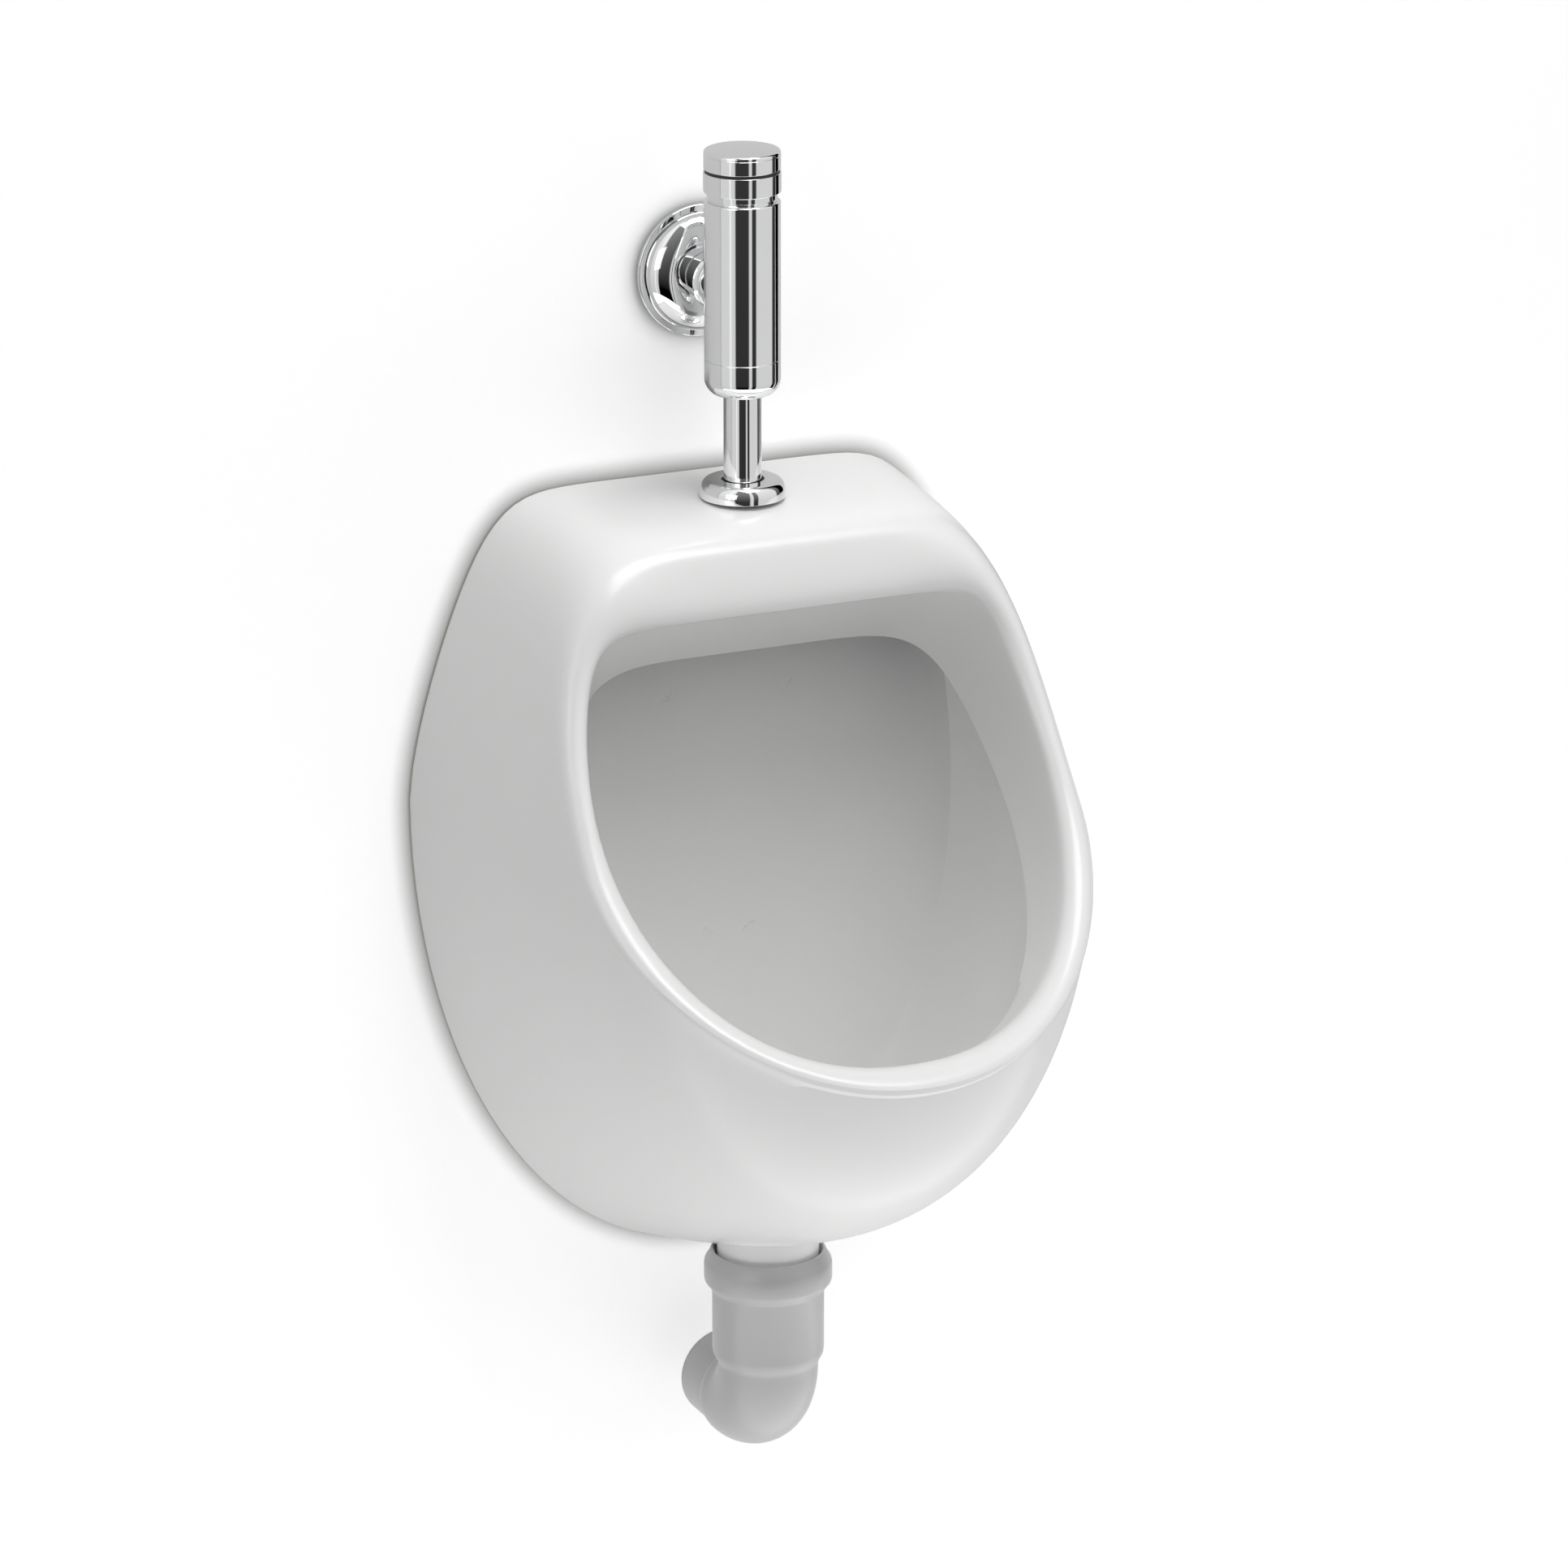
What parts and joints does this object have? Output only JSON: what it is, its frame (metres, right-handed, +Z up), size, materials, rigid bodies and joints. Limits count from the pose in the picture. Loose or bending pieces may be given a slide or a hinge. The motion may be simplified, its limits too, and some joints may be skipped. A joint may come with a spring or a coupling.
{
  "type": "wall-hung urinal",
  "caption": "Small wall-hung ceramic urinal with a flush pipe on top, a push-button valve and a plastic waste elbow.",
  "frame": {"origin": "centre between the two hanger holes, on the wall plane", "axes": "+Y points into the wall, +Z points up, and +X points to the right of someone who faces the wall"},
  "size_m": [0.3294, 0.2987, 0.7043],
  "materials": {
    "ceramic": "white glaze, glossy",
    "chrome": "polished chrome plate",
    "brass": "turned, unplated",
    "steel": "stainless, brushed",
    "rubber": "smooth, black",
    "plastic": "moulded, pale grey"
  },
  "bodies": {
    "fixture": {"ceramic_body": "ceramic", "hanger_left": "steel", "hanger_right": "steel", "hanger_pads": "rubber", "outlet_strainer": "chrome", "strainer_screw": "steel", "strainer_crossbar": "brass", "waste_elbow": "plastic", "elbow_seal": "rubber", "inlet_spreader": "brass", "spreader_seal": "rubber", "spud_washer": "rubber", "spud_nut": "brass", "pipe_seal": "rubber", "pipe_flange": "chrome", "flush_pipe": "chrome", "outlet_nut": "chrome", "outlet_nut_seal": "rubber", "valve_body": "chrome", "cartridge_sleeve": "brass", "sleeve_seals": "rubber", "bonnet": "chrome", "bonnet_seal": "rubber", "stem_seal": "rubber", "inlet_arm": "chrome", "inlet_collar": "chrome", "inlet_filter": "steel", "wall_rosette": "chrome", "return_spring": "steel"},
    "button": {"push_cap": "chrome", "button_ring": "rubber", "button_skirt": "chrome", "stem": "steel", "stem_clip": "steel", "piston": "brass", "piston_seals": "rubber"}
  },
  "joints": [
    {"name": "button_press", "type": "slide", "parent": "fixture", "child": "button", "axis": [0, 0, -1], "range_m": [0, 0.0028], "stiffness_N_per_m": 4000, "springref_m": -0.002, "deforming": ["return_spring"]}
  ]
}
